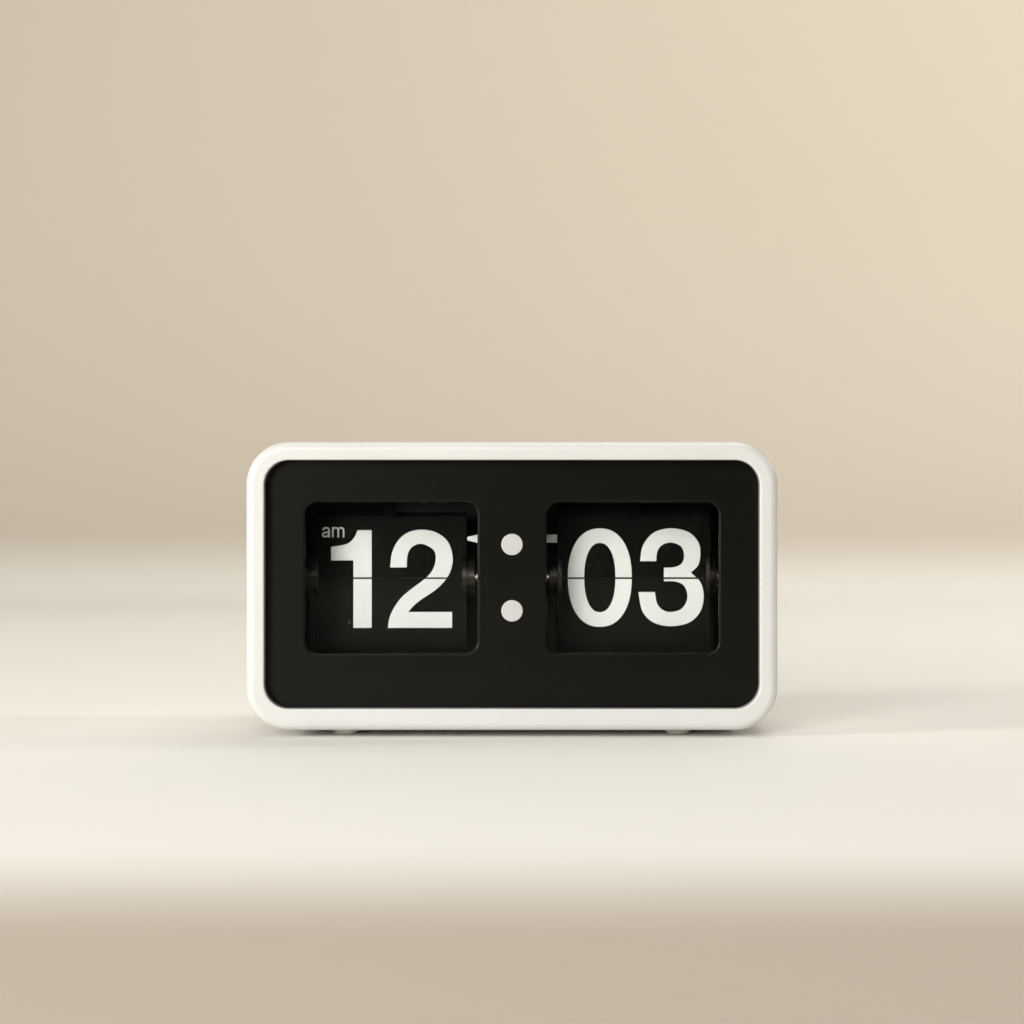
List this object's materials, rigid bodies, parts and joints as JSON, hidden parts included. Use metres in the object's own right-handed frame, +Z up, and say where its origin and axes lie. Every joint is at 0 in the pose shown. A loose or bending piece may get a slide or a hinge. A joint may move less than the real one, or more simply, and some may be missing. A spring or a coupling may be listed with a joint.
{
  "type": "flip number clock",
  "caption": "Desk flip clock: hour and minute drums of hinged black leaves behind two windows in a rounded off-white case.",
  "frame": {"origin": "on the table under the middle of the clock", "axes": "+X to the right and +Z up as seen from the front, +Y towards the back"},
  "size_m": [0.18, 0.08, 0.1],
  "materials": {
    "case_white": "satin moulded plastic",
    "panel_black": "satin moulded plastic",
    "window_clear": "clear polished",
    "leaf_black": "satin sheet",
    "dot_white": "satin",
    "cover_grey": "fine texture",
    "frame_black": "satin",
    "gear_white": "satin",
    "tie_white": "satin",
    "drum_grey": "satin",
    "steel": "bright",
    "brass": "turned",
    "motor_steel": "plated",
    "board_green": "lacquered",
    "chip_black": "matt",
    "foot_rubber": "matt",
    "cell_skin": "gloss sleeve"
  },
  "bodies": {
    "clock": {"base_rail": "frame_black", "base_rail_screws": "steel", "battery_cell": "cell_skin", "battery_contact_minus": "steel", "battery_contact_plus": "steel", "battery_tray": "frame_black", "case_shell": "case_white", "catch_screws": "steel", "centre_tie_bar": "tie_white", "circuit_board": "board_green", "colon_dots": "dot_white", "control_chip": "chip_black", "feet": "foot_rubber", "front_panel": "panel_black", "hour_catch": "frame_black", "hour_leaf_lower": "leaf_black", "hour_leaf_next": "leaf_black", "hour_leaf_pack": "leaf_black", "hour_window_lens": "window_clear", "left_centre_plate": "frame_black", "left_end_plate": "frame_black", "minute_catch": "frame_black", "minute_leaf_lower": "leaf_black", "minute_leaf_next": "leaf_black", "minute_leaf_pack": "leaf_black", "minute_window_lens": "window_clear", "motor_can": "motor_steel", "motor_screws": "steel", "panel_screws": "steel", "quartz_crystal": "steel", "rear_cover": "cover_grey", "rear_cover_screws": "steel", "right_centre_plate": "frame_black", "right_end_plate": "frame_black", "set_wheel_axle": "steel", "shaft_bushes": "brass", "top_rail": "frame_black"},
    "minute_drum": {"minute_drum_core": "drum_grey", "minute_disc_inner": "drum_grey", "minute_disc_outer": "drum_grey", "minute_shaft": "steel", "minute_shaft_clip": "steel", "minute_gear_pair": "gear_white", "set_gear": "gear_white"},
    "hour_drum": {"hour_drum_core": "drum_grey", "hour_disc_inner": "drum_grey", "hour_disc_outer": "drum_grey", "hour_shaft": "steel", "hour_shaft_clip": "steel", "hour_gear": "gear_white"},
    "carry_train": {"carry_arbor": "steel", "carry_gear": "gear_white", "carry_pinion": "gear_white"},
    "reduction_train": {"reduction_arbor": "steel", "reduction_gear_pair": "gear_white"},
    "motor_rotor": {"motor_pinion": "brass"},
    "time_set_wheel": {"set_wheel": "gear_white"},
    "hour_leaf": {"hour_leaf_falling": "leaf_black"},
    "minute_leaf": {"minute_leaf_falling": "leaf_black"},
    "door": {"battery_door": "cover_grey"}
  },
  "joints": [
    {"name": "minute_drum_turn", "type": "hinge", "parent": "clock", "child": "minute_drum", "pos_m": [0.0429, 0.00238, 0.0529], "axis": [1, 0, 0], "continuous": true},
    {"name": "hour_drum_turn", "type": "hinge", "parent": "clock", "child": "hour_drum", "pos_m": [-0.0429, -0.00266, 0.0529], "axis": [1, 0, 0], "continuous": true},
    {"name": "carry_turn", "type": "hinge", "parent": "clock", "child": "carry_train", "pos_m": [0, -0.00014, 0.06667], "axis": [1, 0, 0], "continuous": true},
    {"name": "reduction_turn", "type": "hinge", "parent": "clock", "child": "reduction_train", "pos_m": [0, 0.00438, 0.04107], "axis": [1, 0, 0], "continuous": true},
    {"name": "motor_turn", "type": "hinge", "parent": "clock", "child": "motor_rotor", "pos_m": [0, 0.00338, 0.03152], "axis": [1, 0, 0], "continuous": true},
    {"name": "time_set_turn", "type": "hinge", "parent": "clock", "child": "time_set_wheel", "pos_m": [0.0818, 0.02758, 0.0529], "axis": [1, 0, 0], "continuous": true},
    {"name": "hour_leaf_fall", "type": "hinge", "parent": "clock", "child": "hour_leaf", "pos_m": [-0.0429, -0.0096, 0.05381], "axis": [1, 0, 0], "range_deg": [0, 170]},
    {"name": "minute_leaf_fall", "type": "hinge", "parent": "clock", "child": "minute_leaf", "pos_m": [0.0429, -0.0096, 0.05353], "axis": [1, 0, 0], "range_deg": [0, 166.5]},
    {"name": "battery_door_open", "type": "hinge", "parent": "clock", "child": "door", "pos_m": [0, 0.0359, 0.0103], "axis": [-1, 0, 0], "range_deg": [0, 80]}
  ],
  "couplings": [
    {"joint": "hour_drum_turn", "follows": "minute_drum_turn", "ratio": 0.041667},
    {"joint": "carry_turn", "follows": "minute_drum_turn", "ratio": -0.25},
    {"joint": "reduction_turn", "follows": "minute_drum_turn", "ratio": -4},
    {"joint": "motor_turn", "follows": "minute_drum_turn", "ratio": 12},
    {"joint": "time_set_turn", "follows": "minute_drum_turn", "ratio": -3.6667}
  ]
}
